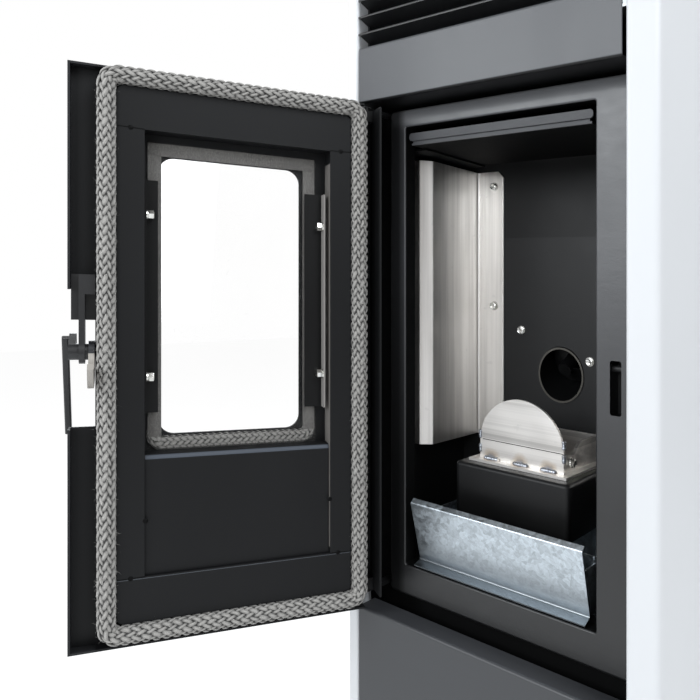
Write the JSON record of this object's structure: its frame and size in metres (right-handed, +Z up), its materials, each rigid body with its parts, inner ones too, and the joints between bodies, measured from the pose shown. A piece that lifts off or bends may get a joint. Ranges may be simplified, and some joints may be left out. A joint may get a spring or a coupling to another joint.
{
  "type": "pellet stove",
  "caption": "Slim free-standing pellet stove with a glazed fire door, rope gasket, hook latch, burn pot, ash drawer, feed auger, hopper, fans and rear flue.",
  "frame": {"origin": "middle of the underside of the base plinth, on the floor", "axes": "+Z up, -Y to the front where the fire door is, +X to the right seen from the front"},
  "size_m": [0.5017, 0.7046, 1.0983],
  "materials": {
    "anthracite_paint": "satin paint",
    "bare_steel": "plain rolled",
    "black_plastic": "moulded",
    "black_stove_paint": "matt heat-resistant paint",
    "board_green": "coated board",
    "ceramic_glass": "clear",
    "galvanised": "spangled zinc",
    "grey_paint": "satin paint",
    "grey_plastic": "moulded",
    "hot_ceramic": "sintered rod",
    "motor_casing": "die cast",
    "rope_fibre": "braided glass fibre",
    "seal_tape": "flat woven tape",
    "stainless": "brushed, heat-tinted",
    "white_powder_coat": "satin textured powder coat",
    "zinc_plated": "bright zinc plate"
  },
  "bodies": {
    "casing": {"base_plinth": "black_stove_paint", "levelling_screws": "zinc_plated", "side_panel_left": "white_powder_coat", "side_panel_right": "white_powder_coat", "rear_panel": "galvanised", "top_cover": "black_stove_paint", "fascia_panel": "grey_paint", "lower_front_panel": "anthracite_paint", "louvre_grille": "black_stove_paint", "firebox_front": "black_stove_paint", "latch_keeper": "black_stove_paint", "firebox_shell": "black_stove_paint", "back_plate": "black_stove_paint", "liner_left": "stainless", "liner_right": "stainless", "firebox_screws": "zinc_plated", "baffle_rails": "black_stove_paint", "pot_support": "black_stove_paint", "igniter": "hot_ceramic", "fuel_tube": "galvanised", "auger_gearmotor": "motor_casing", "hopper": "galvanised", "lid_hinges": "black_stove_paint", "display_panel": "black_plastic", "control_board": "board_green", "mains_inlet": "black_plastic", "smoke_ducts": "black_stove_paint", "smoke_fan_housing": "galvanised", "smoke_fan_motor": "motor_casing", "flue_outlet": "black_stove_paint", "air_inlet": "galvanised", "room_fan_housing": "galvanised", "room_fan_motor": "motor_casing", "heat_exchanger": "galvanised", "hinge_brackets": "black_stove_paint"},
    "door": {"door_shell": "anthracite_paint", "door_inner_frame": "anthracite_paint", "door_lower_panel": "anthracite_paint", "glass_seal": "seal_tape", "door_glass": "ceramic_glass", "glass_clip_hinge_side": "black_stove_paint", "glass_clip_latch_side": "black_stove_paint", "clip_screws": "zinc_plated", "door_gasket": "rope_fibre", "handle_bracket": "black_stove_paint"},
    "handle": {"handle_bar": "black_stove_paint", "latch_hook": "bare_steel"},
    "ash_drawer": {"ash_pan": "galvanised", "ash_apron": "galvanised"},
    "burn_pot": {"burn_pot": "stainless"},
    "baffle": {"baffle_plate": "black_stove_paint"},
    "lid": {"hopper_lid": "black_stove_paint", "lid_seal": "seal_tape"},
    "auger": {"auger_screw": "bare_steel"},
    "smoke_wheel": {"smoke_fan_wheel": "galvanised"},
    "room_drum": {"room_fan_drum": "galvanised"},
    "less_button": {"button_less": "grey_plastic"},
    "power_button": {"button_power": "grey_plastic"},
    "more_button": {"button_more": "grey_plastic"},
    "power_rocker": {"rocker_switch": "black_plastic"}
  },
  "joints": [
    {"name": "door_swing", "type": "hinge", "parent": "casing", "child": "door", "pos_m": [-0.1402, -0.2048, 0.62075], "axis": [0, 0, -1], "range_deg": [-118.2, 12]},
    {"name": "handle_turn", "type": "hinge", "parent": "door", "child": "handle", "pos_m": [-0.26135, -0.44303, 0.6264], "axis": [-0.4726, -0.8813, 0], "range_deg": [0, 24]},
    {"name": "drawer_slide", "type": "slide", "parent": "casing", "child": "ash_drawer", "axis": [0, -1, 0], "range_m": [0, 0.12]},
    {"name": "pot_lift", "type": "slide", "parent": "casing", "child": "burn_pot", "axis": [0, 0, 1], "range_m": [0, 0.045]},
    {"name": "baffle_slide", "type": "slide", "parent": "casing", "child": "baffle", "axis": [0, -1, 0], "range_m": [0, 0.12]},
    {"name": "lid_hinge", "type": "hinge", "parent": "casing", "child": "lid", "pos_m": [0, 0.1895, 1.0888], "axis": [-1, 0, 0], "range_deg": [0, 75]},
    {"name": "auger_spin", "type": "hinge", "parent": "casing", "child": "auger", "pos_m": [0, -0.025, 0.6016], "axis": [0, 0.891, 0.454], "continuous": true},
    {"name": "smoke_wheel_spin", "type": "hinge", "parent": "casing", "child": "smoke_wheel", "pos_m": [0.03, 0.01, 0.27], "axis": [0, 1, 0], "continuous": true},
    {"name": "room_drum_spin", "type": "hinge", "parent": "casing", "child": "room_drum", "pos_m": [0, -0.125, 0.13], "axis": [1, 0, 0], "continuous": true},
    {"name": "less_press", "type": "slide", "parent": "casing", "child": "less_button", "axis": [0, 0, -1], "range_m": [0, 0.001], "stiffness_N_per_m": 400, "springref_m": -0.0005},
    {"name": "power_press", "type": "slide", "parent": "casing", "child": "power_button", "axis": [0, 0, -1], "range_m": [0, 0.001], "stiffness_N_per_m": 400, "springref_m": -0.0005},
    {"name": "more_press", "type": "slide", "parent": "casing", "child": "more_button", "axis": [0, 0, -1], "range_m": [0, 0.001], "stiffness_N_per_m": 400, "springref_m": -0.0005},
    {"name": "rocker_tilt", "type": "hinge", "parent": "casing", "child": "power_rocker", "pos_m": [0.112, 0.206, 0.09], "axis": [1, 0, 0], "range_deg": [0, 12]}
  ]
}
